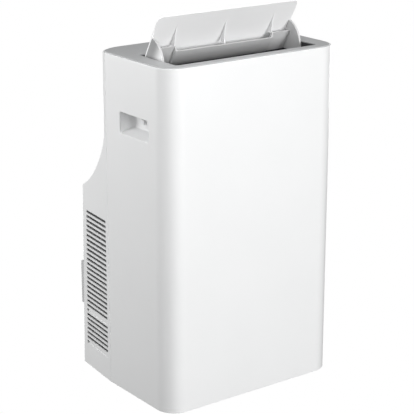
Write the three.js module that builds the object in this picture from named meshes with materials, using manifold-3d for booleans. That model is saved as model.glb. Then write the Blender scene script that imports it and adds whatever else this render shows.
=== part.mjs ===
// A portable room air conditioner with its outlet flap open, in millimetres.
// X runs to the right as one faces the front, the front looks along -Y, +Z is up. The origin is on the
// floor, in the middle of the footprint.

import * as THREE from 'three';
import { mergeVertices } from 'three/addons/utils/BufferGeometryUtils.js';
import Module from 'manifold-3d';

const wasm = await Module();
wasm.setup();

// ---------------------------------------------------------------- driving dimensions
// Inside the machine, y is counted from the front face and z from the lower edge of the casing.

const DEG = Math.PI / 180;
const GAP = 0.3; // clearance between pieces that meet
const WALL = 2.5; // thickness of the moulded casings
const OVER = 1; // how far a cutting tool reaches past what it cuts
const HALF_WIDTH = 226.5;
const FRONT_RADIUS = 45; // front corners, seen from above
const SEAM_Y = 226; // where the front and rear casings meet
const COLUMN_DEPTH = 264; // front face to the back of the slim upper part
const REAR_RX = 60; // rear corners of the upper part are quarter ellipses
const REAR_RY = 38;
const CASING_TOP = 748;
const TOP = 750; // upper face of the top cover
const FLOOR_GAP = 15; // the casters lift the casing off the floor
const TAPER = 6 * DEG; // the sides of the lower rear housing turn in behind the seam
const REAR_Y = 365; // back wall at its lower edge
const REAR_LEAN = 13 / 433; // the back wall leans forward by this much per millimetre of height
const REAR_CORNER = 8;
const SWEEP_R = 170; // radius of the hollow curve between the housing and the upper part
const SWEEP_TOP = 580; // height where that curve runs into the upper part
const SWEEP_TURN = 80 * DEG; // how much of the curve is drawn
const SWEEP_ROWS = 10;
const HOOK_OUT = 10; // how far the cord hook stands out behind the back wall
const DEPTH = REAR_Y + HOOK_OUT;

const LID = { plate: 3, skirt: 15, lip: 2 }; // top cover: plate thickness, skirt height and skirt wall
const OUTLET = { x: 185, y0: 26, y1: 161, corner: 6 }; // opening in the top cover
const DUCT_WALL = 2.2;
const DUCT = { x: 186.5, y0: 26.5, y1: 161.5, z0: 636 }; // inner faces of the outlet duct
const PIVOT = { y: 136, z: 743 }; // hinge line of the outlet flap
const OPEN_ANGLE = 61 * DEG; // the flap's opening as modelled
const PIN = { r: 4, bore: 4.3 }; // the flap's hinge pins and their bores
const VANE = { count: 4, pitch: 84, z: 664, half: 1, low: 640.5, high: 680, pin: 2, bore: 2.3 };
const LINK = { z0: 636.5, z1: 645, floor: 639.5, notch: 6, half: 4, end: 12 };

const PANEL = { x: 80, y0: 176, y1: 240, z0: 744, z1: 749.4 }; // control panel in the top cover
const BUTTON = { count: 5, pitch: 26, y: 193, x: 8, w: 5.5, corner: 3.7, top: 750.2, flange: 2 };
const LENS = { x: 42, y0: 211, y1: 231 };

// Finger recess in each side: its mouth, then the x of its back wall, its sloping floor and the pocket above.
const HANDLE = { y0: 66, y1: 173, z0: 587, z1: 633, corner: 5, back: 198.5, rise: 12, pocket: 648 };
const HANDLE_WINDOW = { y0: 117, y1: 130, z0: 611, z1: 621 };

const VENT = { rows: 29, pitch: 11.26, top: 372, y0: 238, margin: 21, h: 6.5, blank: [21, 28], short: 9 };
const UPPER_GRILLE = { x: 150, z0: 600, z1: 735, rows: 9, columns: 2 };
const LOWER_GRILLE = { x: 160, z0: 58, z1: 395, rows: 20, columns: 2 };
const COLLAR = { z: 505, r: 60, wall: 2, y0: 258.6, y1: 352, bead: 2 };
const DRAIN = { r: 7, head: 11, upper: [110, 417], lower: [60, 22] };
const GLAND = { x: -186, z: 110, r: 9, cable: 4 };
const HOOK = { x0: -206, x1: -178, z0: 141, z1: 242, wall: 3, flange: 2.5, stiffener: 16 };

const DECK = { z0: 42, z1: 45 }; // the base: a deck on a skirt, with the casters under it
const PAN = { z0: 0.5, ribs: [120, 238], ribX: 215, ribZ: 24, boss: 10, bossZ: 30 };
const CASTER = { x: 172, yFront: 58, yRear: 300, r: 20, half: 8, trail: 14, axle: 2.5, stem: 5 };
const FORK = { leg: 2.5, arm: 6, back: 8, crown: 26, plate: 3 };
const COMPRESSOR = { x: -145, y: 92, r: 58, z0: 60.3, z1: 290, feet: 56, foot: 14, plate: 3 };
const ACCUMULATOR = { x: -58, y: 58, r: 22, z0: 45.3, z1: 230 };
const FAN = { x: 60, z: 215, r: 86, y0: 168, y1: 222, blades: 14, blade: 16 }; // condenser fan
const SCROLL = { y0: 160, y1: 230, near: 94, far: 130, top: 398, wall: 2, throat: 72, knee: 330 };
const EXHAUST = { x: 72, y0: 160, bend: 214, y1: 258, z0: 399.3, knee: 432.5, z1: 572, wall: 2 };
const BLOWER = { y: 88, z: 580, r: 46, x0: -184, x1: 138, blades: 12, blade: 10 }; // cross-flow fan
const TRAY = { x: 206, y0: 12, y1: 210, z0: 434, z1: 450, wall: 2 }; // drip tray
// The suction pipe rises from the accumulator, past the drip tray, to the evaporator's end.
const SUCTION_DROP = [-205, 187];
const SUCTION_ROUTE = [
  [ACCUMULATOR.x, ACCUMULATOR.y, 229], [ACCUMULATOR.x, ACCUMULATOR.y, 262],
  [-110, 110, 330], [-190, 180, 370], [...SUCTION_DROP, 410], [...SUCTION_DROP, 455],
  [-203, 187, 472], [-195, 187, 476],
];
const BOX = { x0: 90, x1: 186, y1: 60, z0: 70, z1: 240, lid: 3, inset: 4 }; // control box
const EVAPORATOR = { x: 184, y0: 168, y1: 206, z0: 438.6, z1: 728 };
const CONDENSER = { x: 184, y0: 246, y1: 284, z0: 46, z1: 394 };

// ---------------------------------------------------------------- materials

const MATERIALS = {
  shell: { color: 0xeef0f0, roughness: 0.42, metalness: 0 },
  topGrey: { color: 0xa9abad, roughness: 0.5, metalness: 0 },
  flap: { color: 0xdcdddd, roughness: 0.5, metalness: 0 },
  dark: { color: 0x3b3d40, roughness: 0.6, metalness: 0 },
  lens: { color: 0x15171a, roughness: 0.15, metalness: 0 },
  rubber: { color: 0x2a2a2b, roughness: 0.85, metalness: 0 },
  wheel: { color: 0x55585b, roughness: 0.6, metalness: 0 },
  steel: { color: 0xb6b9bc, roughness: 0.4, metalness: 0.9 },
  blackSteel: { color: 0x1f2022, roughness: 0.5, metalness: 0.3 },
  fins: { color: 0xc8ccd0, roughness: 0.4, metalness: 0.9 },
  copper: { color: 0xb87333, roughness: 0.35, metalness: 1 },
  foam: { color: 0xe4e5e4, roughness: 0.9, metalness: 0 },
};

const machine = new THREE.Group();
const casing = new THREE.Group(); // holds the casing's own counting of y and z
casing.position.set(0, -DEPTH / 2, FLOOR_GAP);
machine.add(casing);

/** Adds a finished solid to a group as one named mesh. */
function piece(name, body, look, group = casing) {
  const { vertProperties, triVerts } = body.getMesh();
  const geometry = new THREE.BufferGeometry();
  geometry.setAttribute('position', new THREE.BufferAttribute(vertProperties, 3));
  geometry.setIndex(new THREE.BufferAttribute(triVerts, 1));
  geometry.computeVertexNormals();
  const mesh = new THREE.Mesh(geometry, new THREE.MeshStandardMaterial(MATERIALS[look]));
  mesh.name = name;
  group.add(mesh);
  return mesh;
}

// ---------------------------------------------------------------- solids from three.js shapes

/** Turns a closed geometry into a solid that can be cut and joined. */
function solid(geometry) {
  geometry.deleteAttribute('normal');
  geometry.deleteAttribute('uv');
  const merged = mergeVertices(geometry, 1e-4);
  const index = merged.index.array;
  const kept = [];
  for (let i = 0; i < index.length; i += 3) {
    const [a, b, c] = index.slice(i, i + 3);
    if (a !== b && b !== c && c !== a) kept.push(a, b, c);
  }
  const vertProperties = Float32Array.from(merged.attributes.position.array);
  const triVerts = Uint32Array.from(kept);
  return new wasm.Manifold(new wasm.Mesh({ numProp: 3, vertProperties, triVerts }));
}

const join = (bodies) => bodies.reduce((sum, body) => sum.add(body));
const cut = (body, tools) => tools.reduce((rest, tool) => rest.subtract(tool), body);
const mirrored = (body) => body.mirror([1, 0, 0]);

function box(x0, x1, y0, y1, z0, z1) {
  const geometry = new THREE.BoxGeometry(x1 - x0, y1 - y0, z1 - z0);
  geometry.translate((x0 + x1) / 2, (y0 + y1) / 2, (z0 + z1) / 2);
  return solid(geometry);
}

const UNIT = { x: new THREE.Vector3(1, 0, 0), y: new THREE.Vector3(0, 1, 0), z: new THREE.Vector3(0, 0, 1) };
const LAID_ALONG_X = new THREE.Matrix4().makeBasis(UNIT.y, UNIT.z, UNIT.x);

/** Extrudes an outline and lays it along one axis: x takes (y, z), y takes (x, z), z takes (x, y). */
function prism(axis, shape, from, to, curveSegments = 6) {
  const geometry = new THREE.ExtrudeGeometry(shape, { depth: to - from, bevelEnabled: false, curveSegments });
  if (axis === 'x') geometry.applyMatrix4(LAID_ALONG_X).translate(from, 0, 0);
  if (axis === 'y') geometry.rotateX(Math.PI / 2).translate(0, to, 0);
  if (axis === 'z') geometry.translate(0, 0, from);
  return solid(geometry);
}

/** A round bar along an axis through the point (x, y, z), whose own coordinate on that axis is unused. */
function rod(axis, [x, y, z], radius, from, to, sides = 16) {
  const geometry = new THREE.CylinderGeometry(radius, radius, to - from, sides);
  const middle = (from + to) / 2;
  if (axis === 'x') geometry.rotateZ(Math.PI / 2).translate(middle, y, z);
  if (axis === 'y') geometry.translate(x, middle, z);
  if (axis === 'z') geometry.rotateX(Math.PI / 2).translate(x, y, middle);
  return solid(geometry);
}

/** Turns a profile of [radius, height] points about an axis through (x, y, z); the height adds to z or y. */
function turned(axis, [x, y, z], profile, sides = 24) {
  const points = profile.map(([radius, height]) => new THREE.Vector2(radius, height));
  const geometry = new THREE.LatheGeometry(points, sides);
  if (axis === 'z') geometry.rotateX(Math.PI / 2);
  return solid(geometry.translate(x, y, z));
}

function polygon(points) {
  return new THREE.Shape(points.map(([u, v]) => new THREE.Vector2(u, v)));
}

function roundedRectangle(u0, u1, v0, v1, r) {
  const shape = new THREE.Shape();
  shape.moveTo(u0, v0 + r);
  shape.absarc(u0 + r, v0 + r, r, Math.PI, 1.5 * Math.PI);
  shape.absarc(u1 - r, v0 + r, r, 1.5 * Math.PI, 2 * Math.PI);
  shape.absarc(u1 - r, v1 - r, r, 0, 0.5 * Math.PI);
  shape.absarc(u0 + r, v1 - r, r, 0.5 * Math.PI, Math.PI);
  return shape;
}

/** A strip of even thickness along a line of points. */
function ribbon(points, thickness) {
  const line = points.map(([u, v]) => new THREE.Vector2(u, v));
  const normals = line.map((_, i) => {
    const step = line[Math.min(i + 1, line.length - 1)].clone().sub(line[Math.max(i - 1, 0)]);
    return new THREE.Vector2(-step.y, step.x).normalize().multiplyScalar(thickness / 2);
  });
  const left = line.map((point, i) => point.clone().add(normals[i]));
  const right = line.map((point, i) => point.clone().sub(normals[i]));
  return new THREE.Shape([...left, ...right.reverse()]);
}

/** Skins a stack of convex rings, each a counter-clockwise list of [x, y] at its own height. */
function loft(rings, heights) {
  const count = rings[0].length;
  const positions = rings.flatMap((ring, level) => ring.flatMap(([x, y]) => [x, y, heights[level]]));
  const index = [];
  for (let level = 0; level + 1 < rings.length; level += 1) {
    for (let i = 0; i < count; i += 1) {
      const a = level * count + i;
      const b = level * count + ((i + 1) % count);
      index.push(a, b, b + count, a, b + count, a + count);
    }
  }
  const last = (rings.length - 1) * count;
  for (let i = 1; i + 1 < count; i += 1) index.push(0, i + 1, i, last, last + i, last + i + 1);
  const geometry = new THREE.BufferGeometry();
  geometry.setAttribute('position', new THREE.Float32BufferAttribute(positions, 3));
  geometry.setIndex(index);
  return solid(geometry);
}

/** A round tube or bar along a smooth curve. */
function pipe(points, radius, steps = 24, sides = 8) {
  const curve = new THREE.CatmullRomCurve3(points.map((point) => new THREE.Vector3(...point)));
  const circle = new THREE.Shape();
  for (let i = 0; i < sides; i += 1) {
    const angle = (i / sides) * 2 * Math.PI;
    const point = [radius * Math.cos(angle), radius * Math.sin(angle)];
    if (i === 0) circle.moveTo(...point);
    else circle.lineTo(...point);
  }
  return solid(new THREE.ExtrudeGeometry(circle, { extrudePath: curve, steps, bevelEnabled: false }));
}

// ---------------------------------------------------------------- outlines of the casing

/** The slim upper part seen from above, moved inwards by inset. */
function columnOutline(inset) {
  const half = HALF_WIDTH - inset;
  const r = FRONT_RADIUS - inset;
  const [rx, ry] = [REAR_RX - inset, REAR_RY - inset];
  const shape = new THREE.Shape();
  shape.moveTo(-half, FRONT_RADIUS);
  shape.absarc(-half + r, FRONT_RADIUS, r, Math.PI, 1.5 * Math.PI);
  shape.absarc(half - r, FRONT_RADIUS, r, 1.5 * Math.PI, 2 * Math.PI);
  shape.absellipse(half - rx, SEAM_Y, rx, ry, 0, 0.5 * Math.PI);
  shape.absellipse(-half + rx, SEAM_Y, rx, ry, 0.5 * Math.PI, Math.PI);
  return shape;
}

const STEPS = 8; // straight steps in each rear corner
const SEAM_FRONT = SEAM_Y - 60; // the rear body is drawn from here, well in front of the seam

/** The upper part's rear outline grown outwards, from well in front of the seam round the back. */
function sweptRing(outset) {
  const arc = (from) => Array.from({ length: STEPS + 1 }, (_, i) => from + (i / STEPS) * 90 * DEG);
  const [rx, ry] = [REAR_RX + outset, REAR_RY + outset];
  const corner = (side, angle) => [
    side * (HALF_WIDTH - REAR_RX) + rx * Math.cos(angle),
    SEAM_Y + ry * Math.sin(angle),
  ];
  const half = HALF_WIDTH + outset;
  return [
    [-half, SEAM_FRONT], [half, SEAM_FRONT],
    ...arc(0).map((angle) => corner(1, angle)),
    ...arc(90 * DEG).map((angle) => corner(-1, angle)),
  ];
}

/** The lower rear housing seen from above at a given height, with tapered sides. */
function housingRing(height, inset, corner = REAR_CORNER - inset) {
  const rear = REAR_Y - REAR_LEAN * height - inset;
  const half = HALF_WIDTH - inset / Math.cos(TAPER);
  const sideX = (y) => half - (y - SEAM_Y) * Math.tan(TAPER);
  const centre = [sideX(rear - corner) - corner / Math.cos(TAPER), rear - corner];
  const right = [0, 0.25, 0.5, 0.75, 1].map((t) => {
    const angle = TAPER + t * (90 * DEG - TAPER);
    return [centre[0] + corner * Math.cos(angle), centre[1] + corner * Math.sin(angle)];
  });
  const left = right.map(([x, y]) => [-x, y]).reverse();
  const front = SEAM_FRONT + 20;
  return [[-half, front], [half, front], [half, SEAM_Y], ...right, ...left, [-half, SEAM_Y]];
}

/** The rear half of the body as a full solid: tapered housing, hollow sweep and upper part. */
function rearBody(inset, low, high) {
  const shoulder = SWEEP_TOP + 10;
  const housing = loft([housingRing(low, inset), housingRing(shoulder, inset)], [low, shoulder]);
  const radius = SWEEP_R + inset;
  const rows = Array.from({ length: SWEEP_ROWS + 1 }, (_, i) => SWEEP_TURN * (1 - i / SWEEP_ROWS));
  const sweep = loft(
    rows.map((angle) => sweptRing(SWEEP_R - radius * Math.cos(angle))),
    rows.map((angle) => SWEEP_TOP - radius * Math.sin(angle)),
  );
  const foot = SWEEP_TOP - radius * Math.sin(SWEEP_TURN);
  const wide = HALF_WIDTH + SWEEP_R / 2;
  const below = box(-wide, wide, SEAM_FRONT, DEPTH + SWEEP_R / 2, low, foot + 0.01);
  const column = loft([sweptRing(-inset), sweptRing(-inset)], [foot, high]);
  return housing.intersect(sweep.add(below)).add(column);
}

const rearWallY = (z) => REAR_Y - REAR_LEAN * z;

// ---------------------------------------------------------------- casings

function frontCasing() {
  const [low, high, side] = [-OVER, CASING_TOP + OVER, HALF_WIDTH + OVER];
  const shell = prism('z', columnOutline(0), 0, CASING_TOP)
    .subtract(prism('z', columnOutline(WALL), low, high))
    .subtract(box(-side, side, SEAM_Y - GAP / 2, COLUMN_DEPTH + OVER, low, high));
  const { y0, y1, z0, z1, corner } = HANDLE;
  const hole = prism('x', roundedRectangle(y0, y1, z0, z1, corner), HALF_WIDTH - 2 * WALL, side, 2);
  return cut(shell, [hole, mirrored(hole)]);
}

/** The slots of the side vents; two rows keep only a short hole at their rear end. */
function sideVents() {
  return Array.from({ length: VENT.rows }, (_, row) => {
    const z = VENT.top - row * VENT.pitch;
    const end = rearWallY(z) - VENT.margin;
    const start = VENT.blank.includes(row) ? end - VENT.short : VENT.y0;
    return box(-HALF_WIDTH - OVER, HALF_WIDTH + OVER, start, end, z - VENT.h / 2, z + VENT.h / 2);
  });
}

function rearCasing() {
  const [low, high, side] = [-OVER, CASING_TOP + OVER, HALF_WIDTH + OVER];
  const shell = rearBody(0, 0, CASING_TOP)
    .subtract(rearBody(WALL, low, high))
    .subtract(box(-side, side, SEAM_FRONT - OVER, SEAM_Y + GAP / 2, low, high));
  const [upper, lower] = [UPPER_GRILLE, LOWER_GRILLE];
  const [inside, outside] = [rearWallY(DRAIN.upper[1]) - 8 * WALL, REAR_Y + OVER];
  const plugs = [DRAIN.upper, DRAIN.lower];
  const openings = [
    box(-upper.x, upper.x, COLUMN_DEPTH - 3 * WALL, COLUMN_DEPTH + OVER, upper.z0, upper.z1),
    box(-lower.x, lower.x, inside, outside, lower.z0, lower.z1),
    rod('y', [0, 0, COLLAR.z], COLLAR.r + 0.5, SEAM_Y + 2 * WALL, outside, 32),
    rod('y', [GLAND.x, 0, GLAND.z], GLAND.r - 2, inside, outside),
    ...plugs.map(([x, z]) => rod('y', [x, 0, z], DRAIN.r + GAP, inside, outside)),
  ];
  return cut(shell, [...sideVents(), ...openings]);
}

function topCover() {
  const { plate: thickness, skirt: height, lip } = LID;
  const rim = WALL + GAP;
  const plate = prism('z', columnOutline(rim), TOP - thickness, TOP);
  const skirt = prism('z', columnOutline(rim), TOP - height, TOP - thickness + 0.1)
    .subtract(prism('z', columnOutline(rim + lip), TOP - height - OVER, TOP));
  const hole = roundedRectangle(-OUTLET.x, OUTLET.x, OUTLET.y0, OUTLET.y1, OUTLET.corner);
  const outlet = prism('z', hole, TOP - thickness - OVER, TOP + OVER, 2);
  const panel = box(-PANEL.x, PANEL.x, PANEL.y0, PANEL.y1, TOP - thickness - OVER, TOP + OVER);
  return cut(plate.add(skirt), [outlet, panel]);
}

/** The right-hand recess: a floor that rises inwards, a pocket above its mouth and a window in its back. */
function handleCup() {
  const { y0, y1, z0, z1, back, rise, pocket } = HANDLE;
  const outside = HALF_WIDTH - WALL - GAP;
  const lintel = outside - 8;
  const shell = box(back - 2, outside, y0 - WALL, y1 + WALL, z0 - WALL, pocket + 2);
  const hollow = polygon([
    [outside + OVER, z0], [outside, z0], [back, z0 + rise], [back, pocket],
    [lintel, pocket], [lintel, z1], [outside + OVER, z1],
  ]);
  const window = HANDLE_WINDOW;
  const opening = box(back - 2 - OVER, back + OVER, window.y0, window.y1, window.z0, window.z1);
  return cut(shell, [prism('y', hollow, y0, y1), opening]);
}

// ---------------------------------------------------------------- grilles, filters and fittings at the back

/** A panel with rows of slots, in the plane of x and z, from y0 to y1. */
function slotted(x, z0, z1, y0, y1, rows, columns, border, bar) {
  const panel = box(-x, x, y0, y1, z0, z1);
  const pitchX = (2 * x - 2 * border + bar) / columns;
  const pitchZ = (z1 - z0 - 2 * border) / rows;
  const slots = [];
  for (let row = 0; row < rows; row += 1) {
    for (let column = 0; column < columns; column += 1) {
      const left = -x + border + column * pitchX;
      const low = z0 + border + row * pitchZ;
      slots.push(box(left, left + pitchX - bar, y0 - 1, y1 + 1, low + 0.2 * pitchZ, low + 0.8 * pitchZ));
    }
  }
  return cut(panel, slots);
}

function upperGrille() {
  const { x, z0, z1, rows, columns } = UPPER_GRILLE;
  const [border, bar] = [8, 6];
  return slotted(x - GAP, z0 + GAP, z1 - GAP, COLUMN_DEPTH - WALL, COLUMN_DEPTH, rows, columns, border, bar);
}

const FILTER = { thickness: 2.5, shrink: 4, border: 6, bar: 3 }; // frames that carry the filter mesh

function upperFilter() {
  const { x, z0, z1 } = UPPER_GRILLE;
  const { thickness, shrink, border, bar } = FILTER;
  const y1 = COLUMN_DEPTH - WALL - GAP;
  return slotted(x - shrink, z0 + shrink, z1 - shrink, y1 - thickness, y1, 2, 4, border, bar);
}

/** A slotted panel at the lower intake, leaning with the back wall; behind is its distance inwards. */
function lowerPanel(thickness, behind, shrink, rows, columns, border, bar) {
  const { x, z0, z1 } = LOWER_GRILLE;
  const flat = slotted(x - shrink, z0 + shrink, z1 - shrink, -thickness, 0, rows, columns, border, bar);
  return flat.rotate([Math.atan(REAR_LEAN) / DEG, 0, 0]).translate([0, REAR_Y - behind, 0]);
}

function lowerGrille() {
  const [border, bar] = [10, 6];
  return lowerPanel(WALL, 0, GAP, LOWER_GRILLE.rows, LOWER_GRILLE.columns, border, bar);
}

function lowerFilter() {
  const { thickness, shrink, border, bar } = FILTER;
  return lowerPanel(thickness, WALL + GAP, shrink, 3, 4, border, bar);
}

/** A pipe with a rounded bead near its mouth, which holds the exhaust hose. */
function exhaustCollar() {
  const { r, wall, y0, y1, z, bead } = COLLAR;
  const length = y1 - y0;
  const middle = length - 10;
  const profile = [
    [r - wall, 0], [r, 0], [r, middle - 2 * bead], [r + bead, middle - bead], [r + bead, middle + bead],
    [r, middle + 2 * bead], [r, length], [r - wall, length], [r - wall, 0],
  ];
  return turned('y', [0, y0, z], profile, 28);
}

function drainPlug([x, z]) {
  const { r, head } = DRAIN;
  const [stem, brim, cap] = [9, 0.4, 4.5]; // depth of the stem, clearance under the head, height of the head
  const profile = [
    [0, -stem], [r - 1, -stem], [r, 1 - stem], [r, brim],
    [head, brim], [head, cap - 1.5], [head - 1.5, cap], [0, cap],
  ];
  return turned('y', [x, rearWallY(z), z], profile, 16);
}

/** A rubber sleeve with a flange outside, tapering round the cable. */
function cordGland() {
  const { x, z, r, cable } = GLAND;
  const [stem, brim, flange, tip] = [8, 0.5, 3, 11];
  const neck = r - 2 - 0.4;
  const profile = [
    [cable, -stem], [neck, -stem], [neck, brim], [r, brim],
    [r, flange], [cable + 2, tip], [cable, tip], [cable, -stem],
  ];
  return turned('y', [x, rearWallY(z), z], profile, 16);
}

/** A channel that the power cord is wound into: one wall to the back, one flange parallel to it. */
function cordHook() {
  const { x0, x1, z0, z1, wall, flange: thickness, stiffener: reach } = HOOK;
  const near = rearWallY(z0) + GAP;
  const middle = (z0 + z1) / 2;
  const web = box(x0, x0 + wall, near, DEPTH, z0, z1);
  const flange = box(x0, x1, DEPTH - thickness, DEPTH, z0, z1);
  const stiffener = box(x0, x0 + reach, near, DEPTH, middle - 2, middle + 2);
  return join([web, flange, stiffener]);
}

// ---------------------------------------------------------------- outlet: duct, vanes and flap

const vaneX = (i) => (i - (VANE.count - 1) / 2) * VANE.pitch;

function outletDuct() {
  const { x, y0, y1, z0 } = DUCT;
  const t = DUCT_WALL;
  const past = x + t + OVER;
  const top = TOP - LID.plate - GAP;
  const tube = box(-x - t, x + t, y0 - t, y1 + t, z0, top)
    .subtract(box(-x, x, y0, y1, z0 - OVER, top + OVER));
  const hinges = rod('x', [0, PIVOT.y, PIVOT.z], PIN.bore, -past, past, 12);
  const slot = box(-past, past, PIVOT.y - PIN.bore, PIVOT.y + PIN.bore, PIVOT.z, TOP);
  const pins = Array.from({ length: VANE.count }, (_, i) =>
    rod('y', [vaneX(i), 0, VANE.z], VANE.bore, y0 - t - OVER, y1 + t + OVER, 8));
  return cut(tube, [hinges, slot, ...pins]);
}

function vane(i) {
  const { y0, y1 } = DUCT;
  const x = vaneX(i);
  const outline = roundedRectangle(y0 + 2, y1 - 2, VANE.low, VANE.high, 4);
  const plate = prism('x', outline, x - VANE.half, x + VANE.half, 1);
  return plate.add(rod('y', [x, 0, VANE.z], VANE.pin, y0 - DUCT_WALL, y1 + DUCT_WALL, 8));
}

/** The bar that joins the vanes; each vane's lower edge stands in a notch of it. */
function vaneLink() {
  const { z0, z1, floor, notch, half, end } = LINK;
  const middle = (DUCT.y0 + DUCT.y1) / 2;
  const [near, far] = [middle - half, middle + half];
  const reach = vaneX(VANE.count - 1) + end;
  const notches = Array.from({ length: VANE.count }, (_, i) => {
    const x = vaneX(i);
    return box(x - notch / 2, x + notch / 2, near - OVER, far + OVER, floor, z1 + OVER);
  });
  return cut(box(-reach, reach, near, far, z0, z1), notches);
}

// The flap is drawn shut, with its hinge line at y = 0, z = 0, and turned open as a group.
const FLAP = { x: 183, front: -105, tail: 22.5, corner: 11, top: TOP - PIVOT.z, plate: 3, cheek: 5 };
const UNDERSIDE = FLAP.top - FLAP.plate;
const CHEEK = { y: 3, z: -5, r: 56.7, end: 256 * DEG }; // the arc of the side cheeks
const RIB = { at: [-128, 0, 128], half: 1.25, start: -83, length: 47, depth: 12.5, power: 1.6 };
const GUIDE = { thickness: 2.2, edge: [-35.2, -9.8], strip: [-27.5, -16.9], tail: 14 };

function cheekOutline() {
  const { y, z, r, end } = CHEEK;
  const root = UNDERSIDE + 0.5;
  const start = Math.PI - Math.asin((UNDERSIDE - z) / r);
  const shape = new THREE.Shape();
  shape.moveTo(GUIDE.tail, root);
  shape.lineTo(y + r * Math.cos(start), root);
  shape.absarc(y, z, r, start, end);
  shape.lineTo(8, -20);
  shape.lineTo(GUIDE.tail, -7);
  return shape;
}

/** A gusset whose free edge sweeps from the plate down to the guide. */
function ribOutline() {
  const { start, length, depth, power } = RIB;
  const root = UNDERSIDE + 0.5;
  const foot = GUIDE.edge[1] + GUIDE.thickness / 2 + GAP;
  const steps = 5;
  const free = Array.from({ length: steps + 1 }, (_, i) => {
    const t = i / steps;
    return [start + length * t, UNDERSIDE - depth * t ** power];
  });
  return polygon([[start, root], ...free, [start + length + 3, foot], [start + length + 5, root]]);
}

/** The foot of the middle rib, which reaches down to the guide's middle strip. */
function stemOutline() {
  const low = GUIDE.strip[1] + GUIDE.thickness / 2 + GAP + 0.1;
  const front = RIB.start + RIB.length;
  return polygon([[front + 3, 0], [front, UNDERSIDE - 12], [-29.5, low], [-26, low], [-26, 0]]);
}

function flapCover() {
  const { x, front, tail, top, cheek, corner } = FLAP;
  const plate = prism('z', roundedRectangle(-x, x, front, tail, corner), UNDERSIDE, top, 2);
  const side = prism('x', cheekOutline(), x - cheek, x, 8);
  const pin = rod('x', [0, 0, 0], PIN.r, x - OVER, DUCT.x + DUCT_WALL + 1.5, 12);
  const ribs = RIB.at.map((at) => prism('x', ribOutline(), at - RIB.half, at + RIB.half));
  const stem = prism('x', stemOutline(), RIB.at[1] - RIB.half, RIB.at[1] + RIB.half);
  return join([plate, side, mirrored(side), pin, mirrored(pin), ...ribs, stem]);
}

/** Turns the air: a middle strip in front of two side strips, joined by end walls under the outer ribs. */
function flapGuide() {
  const { thickness, edge, strip, tail } = GUIDE;
  const half = thickness / 2;
  const wall = RIB.at[2] + RIB.half;
  const reach = FLAP.x - FLAP.cheek - GAP;
  const middle = prism('x', ribbon([strip, [4, -14.2], [tail, -11]], thickness), -wall + OVER, wall - OVER);
  const side = prism('x', ribbon([edge, [tail, edge[1]]], thickness), wall - OVER, reach);
  const end = prism('x', polygon([
    [edge[0] - 0.8, edge[1] + half], [edge[0] - 1.2, edge[1] - half], [strip[0] - half, strip[1] - half],
    [4, -15.3], [tail + 0.6, -12], [tail + 0.6, edge[1] + half],
  ]), wall - 2 * RIB.half, wall);
  return join([middle, side, mirrored(side), end, mirrored(end)]);
}

/** The tilting motor beside the duct, with its gearbox against the left hinge. */
function louvreMotor() {
  const outside = -(DUCT.x + DUCT_WALL + 2);
  const { y, z } = PIVOT;
  const [width, drop, r] = [14, 24, 12];
  const gearbox = box(outside - width, outside, y - 11, y + 13, z - drop, TOP - LID.plate - GAP);
  return gearbox.add(rod('x', [0, y, z - 15], r, outside - width - 10, outside - width + OVER));
}

// ---------------------------------------------------------------- control panel

const buttonX = (i) => (i - (BUTTON.count - 1) / 2) * BUTTON.pitch;

/** A button's outline seen from above, grown by a clearance. */
function buttonOutline(i, clearance) {
  const { y, x: halfLength, w: halfWidth, corner } = BUTTON;
  const [u, v] = [halfLength + clearance, halfWidth + clearance];
  return roundedRectangle(buttonX(i) - u, buttonX(i) + u, y - v, y + v, corner + clearance);
}

function controlPanel() {
  const { x, y0, y1, z0, z1 } = PANEL;
  const plate = box(-x + GAP, x - GAP, y0 + GAP, y1 - GAP, z0, z1);
  const holes = Array.from({ length: BUTTON.count }, (_, i) =>
    prism('z', buttonOutline(i, GAP), z0 - OVER, z1 + OVER, 2));
  const window = box(-LENS.x, LENS.x, LENS.y0, LENS.y1, z1 - 2, z1 + OVER);
  return cut(plate, [...holes, window]);
}

function button(i) {
  const { y, x: halfLength, w: halfWidth, top, flange: thickness } = BUTTON;
  const under = PANEL.z0 - GAP;
  const [u, v] = [halfLength + 1.5, halfWidth + 1.5];
  const flange = box(buttonX(i) - u, buttonX(i) + u, y - v, y + v, under - thickness, under);
  return prism('z', buttonOutline(i, 0), under - OVER, top, 2).add(flange);
}

function displayLens() {
  return box(-LENS.x + GAP, LENS.x - GAP, LENS.y0 + GAP, LENS.y1 - GAP, PANEL.z1 - 1.7, PANEL.z1 + 0.1);
}

// ---------------------------------------------------------------- base and casters

/** The whole footprint, moved inwards by inset, between two heights. */
function footprint(inset, z0, z1) {
  const rear = loft([housingRing(z1, inset), housingRing(z1, inset)], [z0, z1]);
  const behind = box(-HALF_WIDTH, HALF_WIDTH, SEAM_Y - 20, COLUMN_DEPTH, z0 - OVER, z1 + OVER);
  return prism('z', columnOutline(inset), z0, z1).subtract(behind).add(rear);
}

const CASTERS = [
  ['front_left', -CASTER.x, CASTER.yFront],
  ['front_right', CASTER.x, CASTER.yFront],
  ['rear_left', -CASTER.x, CASTER.yRear],
  ['rear_right', CASTER.x, CASTER.yRear],
];

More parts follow.
